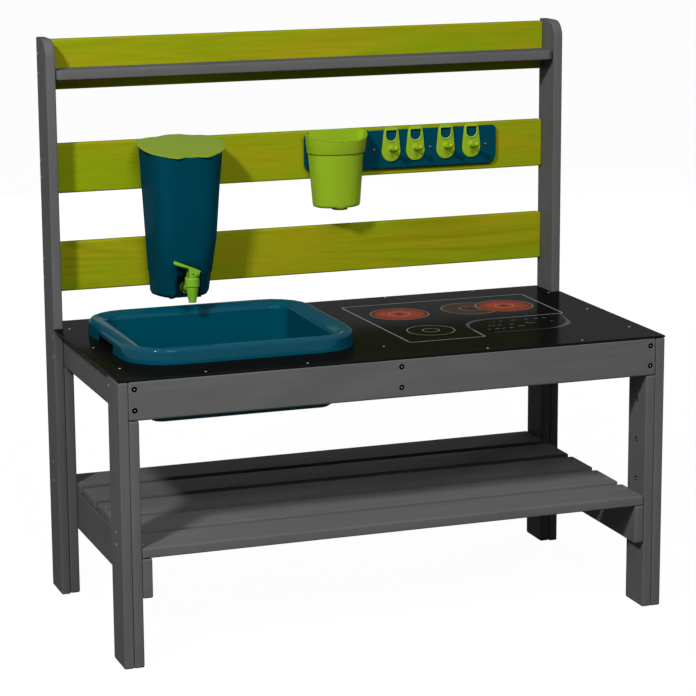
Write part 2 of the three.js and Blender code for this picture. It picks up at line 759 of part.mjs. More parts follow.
function tapStem() {
  const sealTop = seatZ + gap + sealHeight;
  const seal = solidOf(turnedZ([
    [0, seatZ + gap], [nozzleBore + gap, seatZ + gap], [sealRadius, seatZ + gap + sealHeight / 3],
    [sealRadius, sealTop], [0, sealTop],
  ])).translate([0, tapY, 0]);
  add("tap_seal", geometryOf(seal), "seal", tankPlace);
  const headBottom = pinZ - stemHeadAbovePin;
  const rodLength = headBottom + gap - sealTop;
  const rod = cylinderZ(stemRadius, rodLength, [0, tapY, sealTop + rodLength / 2], fineSides);
  const headHeight = 2 * stemHeadAbovePin;
  const head = boxSolid(stemHead, stemHeadThickness, headHeight, [0, tapY, headBottom + headHeight / 2]);
  const eye = cylinderY(pinRadius + gap / 3, stemHead + overrun, [0, tapY, pinZ], fineSides);
  add("tap_stem", geometryOf(joined(rod, head).subtract(eye)), "lime", tankPlace);
  const pin = cylinderY(pinRadius, leverWidth - 2 * gap, [0, tapY, pinZ], fineSides);
  add("tap_pin", geometryOf(pin), "steel", tankPlace);
}

// The lever's paddle rises from its heel, at the right, to its tip, at the left
const leverSlope = Math.tan(THREE.MathUtils.degToRad(leverRise));
const leverHeelZ = leverBlockAbovePin - leverThickness / 2;

function leverPaddle() {
  const run = leverTipReach + leverHeelReach;
  const root = leverWidth / 2;
  const tip = leverTipWidth / 2;
  const outline = new THREE.Shape();
  outline.moveTo(0, -root);
  outline.lineTo(0, root);
  outline.lineTo(tip - run, tip);
  outline.absarc(tip - run, 0, tip, Math.PI / 2, 1.5 * Math.PI);
  const tipSteps = 4;
  const geometry = plankFrom(outline, leverThickness, leverThickness / 4, null, tipSteps, 1);
  geometry.applyMatrix4(new THREE.Matrix4().makeRotationY(THREE.MathUtils.degToRad(leverRise)));
  return solidOf(geometry).translate([leverHeelReach, tapY, pinZ + leverHeelZ]);
}

// The block under the paddle: its lower left edge is the cam that bears on the collar
function leverBlock() {
  const right = leverHeelReach - leverThickness / 2;
  const top = (x) => leverHeelZ + (leverHeelReach - x) * leverSlope;
  const side = new THREE.Shape();
  side.moveTo(-leverBlockLeft, -leverBlockBelowPin);
  side.lineTo(right, -leverBlockBelowPin);
  side.lineTo(right, top(right));
  side.lineTo(-leverBlockLeft, top(-leverBlockLeft));
  const geometry = new THREE.ExtrudeGeometry(side, { depth: leverWidth, bevelEnabled: false });
  return solidOf(geometry.applyMatrix4(faceY)).translate([0, tapY + leverWidth / 2, pinZ]);
}

function tapLever() {
  const slotRight = stemHead / 2 + leverSlotMargin;
  const slotWidth = leverBlockLeft + overrun + slotRight;
  const slotTop = stemHeadAbovePin + leverSlotMargin;
  const slotHeight = leverBlockBelowPin + slotTop + overrun;
  const slot = boxSolid(slotWidth, stemHeadThickness + 2 * gap, slotHeight,
    [slotRight - slotWidth / 2, tapY, pinZ + slotTop - slotHeight / 2]);
  const eye = cylinderY(pinRadius + gap, leverWidth + overrun, [0, tapY, pinZ], fineSides);
  const lever = joined(leverBlock(), leverPaddle()).subtract(slot).subtract(eye);
  add("tap_lever", geometryOf(lever), "lime", tankPlace);
}

// Screw with a domed head and its shank, driven toward +Y
function screw(name, place, length = screwLength) {
  const profile = [
    [0, 0], [screwHeadRadius, 0], [screwHeadRadius, screwHeadThickness / 3],
    [screwHeadRadius * 0.7, screwHeadThickness], [0, screwHeadThickness],
  ];
  const head = solidOf(turnedZ(profile, fineSides).applyMatrix4(faceY));
  const shank = cylinderY(screwShankRadius, length, [0, length / 2, 0], fineSides);
  add(name, geometryOf(joined(head, shank)), "steel", place);
}

// Hook rail: a plate that stands off the wood on bosses, so that hooks drop over its top edge
const plateFront = railFront - hookRailStandoff - hookRailThickness;
const plateBack = railFront - hookRailStandoff;

function hookRailOutline() {
  const x = hookRailLength / 2;
  const y = hookRailHeight / 2;
  const top = hookRailTopCorner;
  const foot = hookRailFootCorner;
  const outline = new THREE.Shape();
  outline.moveTo(x, y - top);
  outline.absarc(x - top, y - top, top, 0, Math.PI / 2);
  outline.absarc(top - x, y - top, top, Math.PI / 2, Math.PI);
  outline.absarc(foot - x, foot - y, foot, Math.PI, 1.5 * Math.PI);
  outline.absarc(x - foot, foot - y, foot, 1.5 * Math.PI, 2 * Math.PI);
  return outline;
}

function hookRail() {
  const cornerSteps = 3;
  const middleY = (plateFront + plateBack) / 2;
  let plate = solidOf(plankFrom(hookRailOutline(), hookRailThickness, hookRailArris, faceY, cornerSteps, 1))
    .translate([hookRailCentreX, middleY, hookRailMiddle]);
  const lipLength = hookRailLength - 2 * hookRailFootCorner;
  const lipDepth = hookRailStandoff + hookRailThickness / 2;
  const lip = boxSolid(lipLength, lipDepth, hookRailLip,
    [hookRailCentreX, railFront - lipDepth / 2, hookRailBottom + hookRailLip / 2 + hookRailArris]);
  const bosses = railScrewPlaces.map((x) => cylinderY(bossRadius, lipDepth,
    [x, railFront - lipDepth / 2, hookRailMiddle]));
  plate = joined(plate, lip, ...bosses);
  const bore = 2 * (hookRailStandoff + hookRailThickness);
  for (const x of railScrewPlaces) {
    plate = plate.subtract(cylinderY(screwShankRadius + screwBite, bore + overrun, [x, plateFront, hookRailMiddle],
      fineSides));
  }
  add("hook_rail", geometryOf(plate), "teal");
  railScrewPlaces.forEach((x, i) => screw(`hook_rail_screw_${i + 1}`, [x, plateFront, hookRailMiddle]));
}

// Legs that hang a piece on the hook rail: a bridge over its top edge and a leg down behind it
function hanger(wide, legLength, bridge, frontY) {
  const legY = plateBack + gap + hookLegThickness / 2;
  const legHeight = bridge + legLength;
  const leg = boxSolid(wide, hookLegThickness, legHeight,
    [0, legY, hookRailTop + gap + bridge - legHeight / 2]);
  const reach = legY + hookLegThickness / 2 - frontY;
  const top = boxSolid(wide, reach, bridge, [0, frontY + reach / 2, hookRailTop + gap + bridge / 2]);
  return joined(leg, top);
}

function hookOutline(wide, top, bottom, topCorner) {
  const x = wide / 2;
  const outline = new THREE.Shape();
  outline.moveTo(x, bottom + x);
  outline.lineTo(x, top - topCorner);
  outline.absarc(x - topCorner, top - topCorner, topCorner, 0, Math.PI / 2);
  outline.absarc(topCorner - x, top - topCorner, topCorner, Math.PI / 2, Math.PI);
  outline.lineTo(-x, bottom + x);
  outline.absarc(0, bottom + x, x, Math.PI, 1.5 * Math.PI);
  outline.absarc(0, bottom + x, x, 1.5 * Math.PI, 2 * Math.PI);
  return outline;
}

function peg(rootY, rootZ) {
  const bend = new THREE.CatmullRomCurve3([
    new THREE.Vector3(0, rootY + hookThickness / 2, rootZ),
    new THREE.Vector3(0, rootY - pegReach / 2, rootZ - pegRadius / 4),
    new THREE.Vector3(0, rootY - pegReach + pegRadius, rootZ),
    new THREE.Vector3(0, rootY - pegReach, rootZ + pegTipRise - pegTipRadius / 2),
  ]);
  const sides = 10;
  const section = new THREE.Shape();
  for (let i = 0; i < sides; i += 1) {
    const angle = 2 * Math.PI * i / sides;
    const point = [pegRadius * Math.cos(angle), pegRadius * Math.sin(angle)];
    if (i === 0) section.moveTo(...point);
    else section.lineTo(...point);
  }
  const rod = new THREE.ExtrudeGeometry(section, { steps: 6, extrudePath: bend });
  const knob = new THREE.SphereGeometry(pegTipRadius, sides, sides / 2)
    .translate(0, rootY - pegReach, rootZ + pegTipRise - pegTipRadius / 2);
  return joined(solidOf(rod), solidOf(knob));
}

function hook(index, x) {
  const top = hookRailTop + gap + hookBridge;
  const bottom = top - hookHeight;
  const steps = 2;
  const faceBack = plateFront - gap;
  const plateY = faceBack - hookThickness / 2;
  const windowTop = top - hookBridge;
  const windowShape = (grow) => hookOutline(windowWidth + 2 * grow, windowTop + Math.min(grow, hookBridge / 2),
    windowTop - windowHeight - grow, windowTopCorner + grow);
  const plate = solidOf(plankFrom(hookOutline(hookWidth, top, bottom, hookTopCorner), hookThickness,
    hookThickness / 5, faceY, steps, 1)).translate([0, plateY, 0]);
  const rim = solidOf(plankFrom(windowShape(windowRimWidth), 2 * windowRim, windowRim / 4, faceY, steps, 1))
    .translate([0, faceBack - hookThickness, 0]);
  const opening = solidOf(new THREE.ExtrudeGeometry(windowShape(0), {
    depth: 4 * hookThickness, bevelEnabled: false, curveSegments: steps,
  }).applyMatrix4(faceY)).translate([0, faceBack + gap, 0]);
  const hung = hanger(hookWidth - 2 * hookTopCorner, hookLegLength, hookBridge, plateY);
  const body = joined(plate, rim).subtract(opening);
  add(`hook_${index}`, geometryOf(joined(body, hung, peg(faceBack - hookThickness, top - pegDrop))), "lime",
    [x, 0, 0]);
}

// Cup: half round, with a collar, hung on the hook rail in front of its plate
function cup() {
  const tallness = cupMouthBack - cupBottom;
  const shell = (inset) => {
    const at = (z, extra = 0, slope = 0, lift = 0) => {
      const share = (z - cupBottom) / tallness;
      const half = cupBaseHalf + (cupMouthHalf - cupBaseHalf) * share - extra;
      const deep = cupBaseDepth + (cupMouthDepth - cupBaseDepth) * share - extra;
      return bowedRing(half, deep, cupBackCorner, cupSquareness, z + lift, inset, slope);
    };
    const collarZ = cupMouthBack - cupCollarHeight;
    const floor = cupBottom + inset;
    return solidOf(skin([
      at(cupMouthBack, 0, cupMouthSlope, inset ? overrun : 0),
      at(collarZ, 0),
      at(collarZ - cupCollarStep, cupCollarStep),
      at(floor + cupBaseRadius, cupCollarStep / 2),
      at(floor + cupBaseRadius * 0.3, cupBaseRadius * 0.3),
      at(floor, cupBaseRadius),
    ]));
  };
  const faceBack = plateFront - screwHeadThickness - gap;
  const boss = cylinderZ(cupBossRadius, 2 * cupBossHeight, [0, -cupBossShare * cupBaseDepth, cupBottom]);
  const body = joined(shell(0), boss).subtract(shell(cupWall)).translate([0, faceBack, 0]);
  const bridge = cupMouthBack - hookRailTop - gap;
  const hung = hanger(cupHangerWidth, cupHangerDrop, bridge, faceBack - cupWall / 2);
  add("cup", geometryOf(joined(body, hung)), "lime", [cupCentreX, 0, 0]);
}

sideFrame("left", -1);
sideFrame("right", 1);
aprons();
lowerShelf();
worktop();
backWall();
topShelf();
basin();
tank();
tankScrewPlaces.forEach((x, i) => {
  screw(`tank_screw_${i + 1}`, [x, railFront - tankStandoff - tankWall, tankScrewHeight], tankScrewLength);
});
lid();
tapBody();
tapFastening();
tapCollar();
tapStem();
tapLever();
hookRail();
hookPlaces.forEach((x, i) => hook(i + 1, x));
cup();

export default kitchen;
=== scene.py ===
"""Looks of the mud kitchen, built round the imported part: stained wood, plastics, a printed hob
and screws."""
import json
import math

import bmesh
import bpy
from mathutils import Matrix, Vector


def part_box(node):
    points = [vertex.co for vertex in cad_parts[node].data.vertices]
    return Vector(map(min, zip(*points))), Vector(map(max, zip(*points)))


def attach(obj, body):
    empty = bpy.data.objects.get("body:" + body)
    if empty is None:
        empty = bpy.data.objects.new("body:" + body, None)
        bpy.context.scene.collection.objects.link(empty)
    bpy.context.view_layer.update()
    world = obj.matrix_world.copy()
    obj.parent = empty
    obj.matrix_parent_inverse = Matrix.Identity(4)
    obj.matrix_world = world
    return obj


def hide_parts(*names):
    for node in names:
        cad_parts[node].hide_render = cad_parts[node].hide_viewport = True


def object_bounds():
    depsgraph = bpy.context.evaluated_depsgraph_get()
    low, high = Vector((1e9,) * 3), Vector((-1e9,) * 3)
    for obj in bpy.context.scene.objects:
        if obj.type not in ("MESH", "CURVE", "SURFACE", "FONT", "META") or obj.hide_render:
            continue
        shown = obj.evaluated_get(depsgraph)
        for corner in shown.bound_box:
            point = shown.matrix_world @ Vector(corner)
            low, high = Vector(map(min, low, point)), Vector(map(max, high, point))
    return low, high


MM = 0.001

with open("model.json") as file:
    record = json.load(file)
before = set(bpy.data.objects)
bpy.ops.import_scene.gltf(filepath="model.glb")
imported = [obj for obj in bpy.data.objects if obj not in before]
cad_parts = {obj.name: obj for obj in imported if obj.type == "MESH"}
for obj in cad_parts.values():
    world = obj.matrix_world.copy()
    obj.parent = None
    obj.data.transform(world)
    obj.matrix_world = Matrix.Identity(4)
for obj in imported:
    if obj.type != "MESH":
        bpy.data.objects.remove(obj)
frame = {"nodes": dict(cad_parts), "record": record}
scene = bpy.context.scene
nodes = frame["nodes"]
cad_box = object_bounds()

# The photograph's camera: its sensor in millimetres, its place in metres, its angles in degrees
PHOTO_SIZE = 696
SENSOR_WIDTH = 36
FOCAL_PIXELS = 2557.6
CAMERA_PLACE = Vector((-1.5306, -4.2427, 1.433))
CAMERA_YAW = 19.789
CAMERA_DIP = 12.124
CAMERA_ROLL = -0.346

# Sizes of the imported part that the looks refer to, in metres
BOARD = 17.5 * MM
WORKTOP_TOP = 500 * MM
FRONT = cad_box[0].y
BACK = cad_box[1].y
HALF_WIDTH = cad_box[1].x
RAIL_FRONT = BACK - BOARD

# Numbers in the names of the hooks and of the shelf's slats
HOOKS = (1, 2, 3, 4)
SLATS = (1, 2, 3, 4, 5)

# Places along Y round the hook rail, in millimetres: its plate stands off the wood, the hooks
# lie close in front of it and the cup in front of its screw heads
HOOK_RAIL_STANDOFF = 5
HOOK_RAIL_THICKNESS = 3.5
HOOK_FACE_REACH = 3.3
CUP_BACK_REACH = 2.5
HOOK_PLATE_FRONT = RAIL_FRONT / MM - HOOK_RAIL_STANDOFF - HOOK_RAIL_THICKNESS
HOOK_FACE = HOOK_PLATE_FRONT - HOOK_FACE_REACH
CUP_BACK = HOOK_PLATE_FRONT - CUP_BACK_REACH


def srgb(red, green, blue):
    """Colour as a screen shows it, from 0 to 255, turned to the renderer's linear values"""
    def linear(value):
        value /= 255
        return value / 12.92 if value <= 0.04045 else ((value + 0.055) / 1.055) ** 2.4
    return (linear(red), linear(green), linear(blue), 1)


# Colours
GREY_STAIN = srgb(100, 100, 101)
GREY_STAIN_DARK = srgb(84, 84, 85)
GREY_STAIN_PALE = srgb(106, 106, 107)
GREY_KNOT = srgb(70, 70, 71)
LIME_STAIN = srgb(146, 164, 17)
LIME_STAIN_DARK = srgb(124, 122, 4)
LIME_STAIN_PALE = srgb(170, 160, 24)
LIME_KNOT = srgb(118, 96, 12)
WORKTOP = srgb(16, 17, 16)
BASIN = srgb(0, 76, 95)
TEAL = srgb(0, 70, 88)
LIME_PLASTIC = srgb(152, 186, 36)
# Darker copy of the lime plastic for the lid, which is the same plastic: painted shade against the
# light its top catches
LID_LIME_SHADED = srgb(132, 158, 42)
TAP_PLASTIC = srgb(131, 188, 45)
# Paler lime of the hooks' window rims, which are the same plastic as the hooks: a painted
# highlight
RIM_HIGHLIGHT_LIME = srgb(176, 204, 92)
SEAL = srgb(216, 216, 210)
STEEL = srgb(76, 78, 80)
# Black of the discs on the screw recesses' floors: painted shade inside the holes
SCREW_HOLE_SHADE = srgb(4, 4, 4)
# Pale grey of the screw heads: partly the screws' own colour and partly a painted highlight
SCREW_HEAD_AND_HIGHLIGHT = srgb(190, 191, 193)
PRINT_LINE = srgb(134, 138, 144)
PRINT_PANEL = srgb(80, 82, 92)
PRINT_CREAM = srgb(146, 144, 122)
GLOW_BRIGHT = srgb(164, 54, 10)
GLOW_DEEP = srgb(98, 32, 10)
GLOW_DIM = srgb(62, 34, 18)
FLOOR_GREY = srgb(110, 110, 110)
WHITE = (1, 1, 1, 1)

# Gloss of the worktop and of what is printed on it
WORKTOP_GLOSS = 0.075
WORKTOP_HAZE = 0.15
WORKTOP_ROUGHNESS = 0.6

# Edges sharper than these angles, in degrees, stay sharp in the shading
BOARD_SMOOTH_ANGLE = 50
MOULDED_SMOOTH_ANGLE = 32
SCREW_SMOOTH_ANGLE = 30
KNOB_SMOOTH_ANGLE = 40
RIM_SMOOTH_ANGLE = 60


# Camera, lights, floor

def aim_camera():
    yaw, dip, roll = (math.radians(a) for a in (CAMERA_YAW, CAMERA_DIP, CAMERA_ROLL))
    forward = Vector((math.sin(yaw) * math.cos(dip), math.cos(yaw) * math.cos(dip),
                      -math.sin(dip)))
    right = Vector((math.cos(yaw), -math.sin(yaw), 0))
    up = right.cross(forward)
    rolled_right = right * math.cos(roll) + up * math.sin(roll)
    rolled_up = up * math.cos(roll) - right * math.sin(roll)
    data = bpy.data.cameras.new("photo_camera")
    data.sensor_width = SENSOR_WIDTH
    data.lens = FOCAL_PIXELS / PHOTO_SIZE * SENSOR_WIDTH
    data.clip_end = 100
    camera = bpy.data.objects.new("photo_camera", data)
    turn = Matrix((rolled_right, rolled_up, -forward)).transposed()
    camera.matrix_world = Matrix.Translation(CAMERA_PLACE) @ turn.to_4x4()
    scene.collection.objects.link(camera)
    scene.camera = camera


def soft_light(name, azimuth, elevation, distance, size, watts, mirrored=True):
    """Square lamp aimed at the middle of the kitchen. Azimuth 0 shines from the front, and a
    positive one from the left. One that isn't mirrored leaves no reflection of itself."""
    target = (cad_box[0] + cad_box[1]) / 2
    a, e = math.radians(azimuth), math.radians(elevation)
    away = Vector((-math.sin(a) * math.cos(e), -math.cos(a) * math.cos(e), math.sin(e)))
    data = bpy.data.lights.new(name, "AREA")
    data.shape = "SQUARE"
    data.size = size
    data.energy = watts
    lamp = bpy.data.objects.new(name, data)
    lamp.location = target + away * distance
    lamp.visible_glossy = mirrored
    lamp.rotation_mode = "QUATERNION"
    lamp.rotation_quaternion = away.to_track_quat("Z", "Y")
    scene.collection.objects.link(lamp)


def light_kitchen():
    """A small key lamp and a broad fill in front, and two low broad lamps for the back"""
    soft_light("key", azimuth=48, elevation=38, distance=4.5, size=0.4, watts=124)
    soft_light("front_fill", azimuth=5, elevation=40, distance=5, size=1.6, watts=103)
    for name, azimuth, watts in (("rear_middle", 184, 110), ("rear_right", -125, 100)):
        soft_light(name, azimuth, elevation=4, distance=5, size=1.6, watts=watts, mirrored=False)


def seen_directly(tree):
    """A socket that is 1 for rays that come from the camera, a reflection or a clear material"""
    path = tree.nodes.new("ShaderNodeLightPath")
    total = path.outputs["Is Camera Ray"]
    for other in ("Is Glossy Ray", "Is Transmission Ray"):
        add = tree.nodes.new("ShaderNodeMath")
        add.operation = "MAXIMUM"
        tree.links.new(total, add.inputs[0])
        tree.links.new(path.outputs[other], add.inputs[1])
        total = add.outputs[0]
    return total


def white_room():
    """World that lights the kitchen gently and shows as white"""
    fill, shown = 0.05, 1
    world = bpy.data.worlds.new("white_room")
    scene.world = world
    world.use_nodes = True
    tree = world.node_tree
    back = tree.nodes["Background"]
    back.inputs["Color"].default_value = WHITE
    mix = tree.nodes.new("ShaderNodeMix")
    mix.inputs["A"].default_value = fill
    mix.inputs["B"].default_value = shown
    tree.links.new(seen_directly(tree), mix.inputs["Factor"])
    tree.links.new(mix.outputs["Result"], back.inputs["Strength"])


def pale_floor():
    """Wide floor that shows as white and keeps a faint shadow"""
    radius = 30
    glow_share, glow_strength = 0.75, 1.3
    mesh = bpy.data.meshes.new("floor")
    shape = bmesh.new()
    bmesh.ops.create_circle(shape, cap_ends=True, radius=radius, segments=64)
    shape.to_mesh(mesh)
    shape.free()
    floor = bpy.data.objects.new("floor", mesh)
    scene.collection.objects.link(floor)
    paint = bpy.data.materials.new("floor_white")
    paint.use_nodes = True
    tree = paint.node_tree
    tree.nodes.clear()
    out = tree.nodes.new("ShaderNodeOutputMaterial")
    mix = tree.nodes.new("ShaderNodeMixShader")
    diffuse = tree.nodes.new("ShaderNodeBsdfDiffuse")
    emission = tree.nodes.new("ShaderNodeEmission")
    share = tree.nodes.new("ShaderNodeMath")
    share.operation = "MULTIPLY"
    share.inputs[1].default_value = glow_share
    diffuse.inputs["Color"].default_value = FLOOR_GREY
    emission.inputs["Color"].default_value = WHITE
    emission.inputs["Strength"].default_value = glow_strength
    tree.links.new(seen_directly(tree), share.inputs[0])
    tree.links.new(share.outputs[0], mix.inputs["Fac"])
    tree.links.new(diffuse.outputs[0], mix.inputs[1])
    tree.links.new(emission.outputs[0], mix.inputs[2])
    tree.links.new(mix.outputs[0], out.inputs["Surface"])
    mesh.materials.append(paint)


# Materials

class Paint:
    """Short hand for building one material's nodes"""

    # Sockets of a Mix node that blends colours
    MIX_FACTOR, MIX_LOW, MIX_HIGH = 0, 6, 7
    MIX_RESULT = 2

    def __init__(self, name, colour, roughness, metallic=0.0, specular=0.5, coat=0.0):
        self.material = bpy.data.materials.new(name)
        self.material.use_nodes = True
        self.material.diffuse_color = colour
        self.tree = self.material.node_tree
        self.shader = self.tree.nodes["Principled BSDF"]
        self.set("Base Color", colour)
        self.set("Roughness", roughness)
        self.set("Metallic", metallic)
        self.set("Specular IOR Level", specular)
        self.set("Coat Weight", coat)

    def set(self, socket, value):
        self.shader.inputs[socket].default_value = value

    def feed(self, socket, value):
        """Links a socket to another one, or sets it to a plain value"""
        if isinstance(value, bpy.types.NodeSocket):
            self.tree.links.new(value, socket)
        else:
            socket.default_value = value

    def node(self, kind, **sockets):
        made = self.tree.nodes.new(kind)
        for name, value in sockets.items():
            self.feed(made.inputs[name.replace("_", " ")], value)
        return made

    def math(self, operation, a, b=0.0):
        made = self.tree.nodes.new("ShaderNodeMath")
        made.operation = operation
        for socket, value in zip(made.inputs, (a, b)):
            self.feed(socket, value)
        return made.outputs[0]

    def blend(self, share, low, high):
        made = self.tree.nodes.new("ShaderNodeMix")
        made.data_type = "RGBA"
        self.feed(made.inputs[self.MIX_FACTOR], share)
        self.feed(made.inputs[self.MIX_LOW], low)
        self.feed(made.inputs[self.MIX_HIGH], high)
        return made.outputs[self.MIX_RESULT]

    def ramp(self, value, low, high):
        made = self.node("ShaderNodeMapRange", Value=value, From_Min=low, From_Max=high)
        return made.outputs[0]

    def place(self):
        return self.tree.nodes.new("ShaderNodeTexCoord").outputs["Object"]

    def stretched_place(self, scale, offset):
        mapping = self.node("ShaderNodeMapping", Vector=self.place(), Scale=scale, Location=offset)
        return mapping.outputs[0]

    def noise(self, vector, scale, detail=3.0, distortion=0.0):
        return self.node("ShaderNodeTexNoise", Vector=vector, Scale=scale, Detail=detail,
                         Distortion=distortion).outputs[0]

    def bump(self, height, strength, distance):
        made = self.node("ShaderNodeBump", Height=height, Strength=strength, Distance=distance)
        self.tree.links.new(made.outputs[0], self.shader.inputs["Normal"])

    def colour_from(self, socket):
        self.tree.links.new(socket, self.shader.inputs["Base Color"])


def wood(name, along, seed, tones, streaks, lines, knots, roughness):
    """Stained pine with its grain along X, Y or Z. The seed shifts the grain, so boards differ.
    Streaks, lines and knots say how strong the fibres and year rings show, and how many of the
    knots have a dark heart."""
    base, dark, pale, knot = tones
    coat, coat_roughness = 0.04, 0.4
    knot_scale, knot_share, heart_range = 3.4, 0.5, (0.045, 0.015)
    swirl, swirl_range, swirl_power = 0.22, (0.2, 0.0), 2.0
    ring_scale, ring_share, ring_count, ring_sharpness = 7, 0.1, 90.0, 3.0
    fade_scale, fade_share, fade_range = 6, 0.2, (0.4, 0.62)
    patch_scale, patch_share, patch_range, patch_distortion = 14, 0.22, (0.38, 0.7), 1.2
    fibre_scale, fibre_share, fibre_range = 420, 0.03, (0.45, 0.75)
    fibre_bump, fibre_height = 0.05, 0.0003
    shift_steps, shift_span = (1.37, 2.11, 0.73), 7
    paint = Paint(name, base, roughness, specular=0.0, coat=coat)
    paint.set("Coat Roughness", coat_roughness)
    offset = [seed * step % shift_span for step in shift_steps]

    def drawn_out(share):
        """Place in which a pattern changes only a share as fast along the grain as across it"""
        return paint.stretched_place([share if axis == along else 1 for axis in "XYZ"], offset)

    cells = paint.node("ShaderNodeTexVoronoi", Vector=drawn_out(knot_share), Scale=knot_scale,
                       Randomness=1.0)
    distance = cells.outputs["Distance"]
    near_knot = paint.math("POWER", paint.ramp(distance, *swirl_range), swirl_power)
    growth = paint.noise(drawn_out(ring_share), ring_scale, detail=1)
    growth = paint.math("ADD", growth, paint.math("MULTIPLY", near_knot, swirl))
    wave = paint.math("SINE", paint.math("MULTIPLY", growth, ring_count))
    line = paint.math("POWER", paint.ramp(wave, -1, 1), ring_sharpness)
    fading = paint.ramp(paint.noise(drawn_out(fade_share), fade_scale, detail=1), *fade_range)
    faded = paint.math("MULTIPLY", line, fading)
    patch = paint.noise(drawn_out(patch_share), patch_scale, distortion=patch_distortion)
    fibre = paint.noise(drawn_out(fibre_share), fibre_scale)
    tone = paint.blend(paint.ramp(patch, *patch_range), base, pale)
    streak = paint.math("MULTIPLY", paint.ramp(fibre, *fibre_range), streaks)
    tone = paint.blend(streak, tone, dark)
    tone = paint.blend(paint.math("MULTIPLY", faded, lines), tone, dark)
    heart = paint.ramp(distance, *heart_range)
    chosen = paint.math("GREATER_THAN", cells.outputs["Color"], 1 - knots)
    tone = paint.blend(paint.math("MULTIPLY", heart, chosen), tone, knot)
    paint.colour_from(tone)
    paint.bump(fibre, fibre_bump, fibre_height)
    return paint.material


def grey_wood(name, along, seed):
    tones = (GREY_STAIN, GREY_STAIN_DARK, GREY_STAIN_PALE, GREY_KNOT)
    return wood(name, along, seed, tones, streaks=0.2, lines=0.14, knots=0.2, roughness=0.6)


def lime_wood(name, along, seed):
    tones = (LIME_STAIN, LIME_STAIN_DARK, LIME_STAIN_PALE, LIME_KNOT)
    return wood(name, along, seed, tones, streaks=0.35, lines=0.6, knots=0.5, roughness=0.55)


def plastic(name, colour, roughness, coat=0.0, coat_roughness=0.1):
    """Plastic with all its gloss in the coat, which keeps its rim dark against a white room"""
    paint = Paint(name, colour, roughness, specular=0.0, coat=coat)
    paint.set("Coat Roughness", coat_roughness)
    return paint.material


def moulded_lime(name, colour):
    return plastic(name, colour, roughness=0.4, coat=0.12, coat_roughness=0.22)


def plain(name, colour, roughness, metallic=0.0):
    return Paint(name, colour, roughness, metallic).material


def worktop_paint(name, colour):
    """The worktop's own gloss, over its sheet or over a print on it"""
    paint = Paint(name, colour, WORKTOP_ROUGHNESS, specular=0.0, coat=WORKTOP_GLOSS)
    paint.set("Coat Roughness", WORKTOP_HAZE)
    return paint


def burner_glow(name, centre, radius, bright, deep):
    """Printed glow of a hot plate: mottled red that darkens toward its black heart and its rim"""
    mottle_scale, mottle_range, mottle_strength = 95, (0.45, 0.62), 0.55
    ragged_edge, rim_range, heart_range = 0.3, (0.8, 1.15), (0.36, 0.2)
    paint = worktop_paint(name, bright)
    place = paint.place()
    away = paint.node("ShaderNodeVectorMath", Vector=place)
    away.operation = "DISTANCE"
    away.inputs[1].default_value = centre
    share = paint.math("DIVIDE", away.outputs["Value"], radius)
    mottle = paint.noise(place, mottle_scale, detail=4)
    rough_share = paint.math("ADD", share, paint.math("MULTIPLY", mottle, ragged_edge))
    speckle = paint.math("MULTIPLY", paint.ramp(mottle, *mottle_range), mottle_strength)
    tone = paint.blend(speckle, bright, deep)
    tone = paint.blend(paint.ramp(rough_share, *rim_range), tone, deep)
    tone = paint.blend(paint.ramp(rough_share, *heart_range), tone, WORKTOP)
    paint.colour_from(tone)
    return paint.material


# Pieces

def node_body(node):
    bodies = frame["record"]["behaviour"]["bodies"]
    return next(body for body, members in bodies.items() if node in members)


def middle_across(node):
    """Middle of a node's width, in millimetres"""
    low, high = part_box(node)
    return (low.x + high.x) / 2 / MM


def even_shading(piece, smooth_angle):
    """Rounds the shading over edges softer than an angle, and keeps flat faces flat"""
    piece.data.shade_smooth()
    piece.data.set_sharp_from_angle(angle=math.radians(smooth_angle))
    even = piece.modifiers.new("even_shading", "WEIGHTED_NORMAL")
    even.keep_sharp = True


def new_piece(name, shape, material, body, smooth_angle=None):
    mesh = bpy.data.meshes.new(name)
    shape.to_mesh(mesh)
    shape.free()
    mesh.materials.append(material)
    piece = bpy.data.objects.new(name, mesh)
    scene.collection.objects.link(piece)
    if smooth_angle is not None:
        even_shading(piece, smooth_angle)
    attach(piece, body)
    return piece


def dress(node, material, body, smooth_angle=MOULDED_SMOOTH_ANGLE, reshape=None):
    """Shows a node by a copy of itself with joined corners and rounded shading. A reshape
    gives each corner, in millimetres, its place in the photograph's finer shape."""
    shape = bmesh.new()
    shape.from_mesh(nodes[node].data)
    bmesh.ops.remove_doubles(shape, verts=shape.verts, dist=1e-6)
    if reshape:
        for corner in shape.verts:
            corner.co = Vector(reshape(*(corner.co / MM))) * MM
    piece = new_piece(f"{node}_look", shape, material, body, smooth_angle)
    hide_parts(node)


def direction_of(node):
    low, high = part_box(node)
    size = high - low
    return "XYZ"[max(range(3), key=lambda axis: size[axis])]


def dress_wood():
    make = {"grey_wood": grey_wood, "lime_wood": lime_wood}
    for seed, part in enumerate(frame["record"]["subparts"], 1):
        node, slot = part["node"], part["material_slot"]
        if slot in make:
            stained = make[slot](f"{node}_wood", direction_of(node), seed)
            dress(node, stained, "frame", BOARD_SMOOTH_ANGLE)


# Finer shapes of the moulded pieces, all in millimetres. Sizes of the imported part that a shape
# starts from are repeated here.

def deeper_bowl():
    """The bowl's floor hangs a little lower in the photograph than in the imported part"""
    rim_part, drop = 3, 5
    floor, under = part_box("basin")[0].z / MM, WORKTOP_TOP / MM - rim_part

    def reshape(x, y, z):
        return x, y, z - drop * max(0, (under - z) / (under - floor))
    return reshape


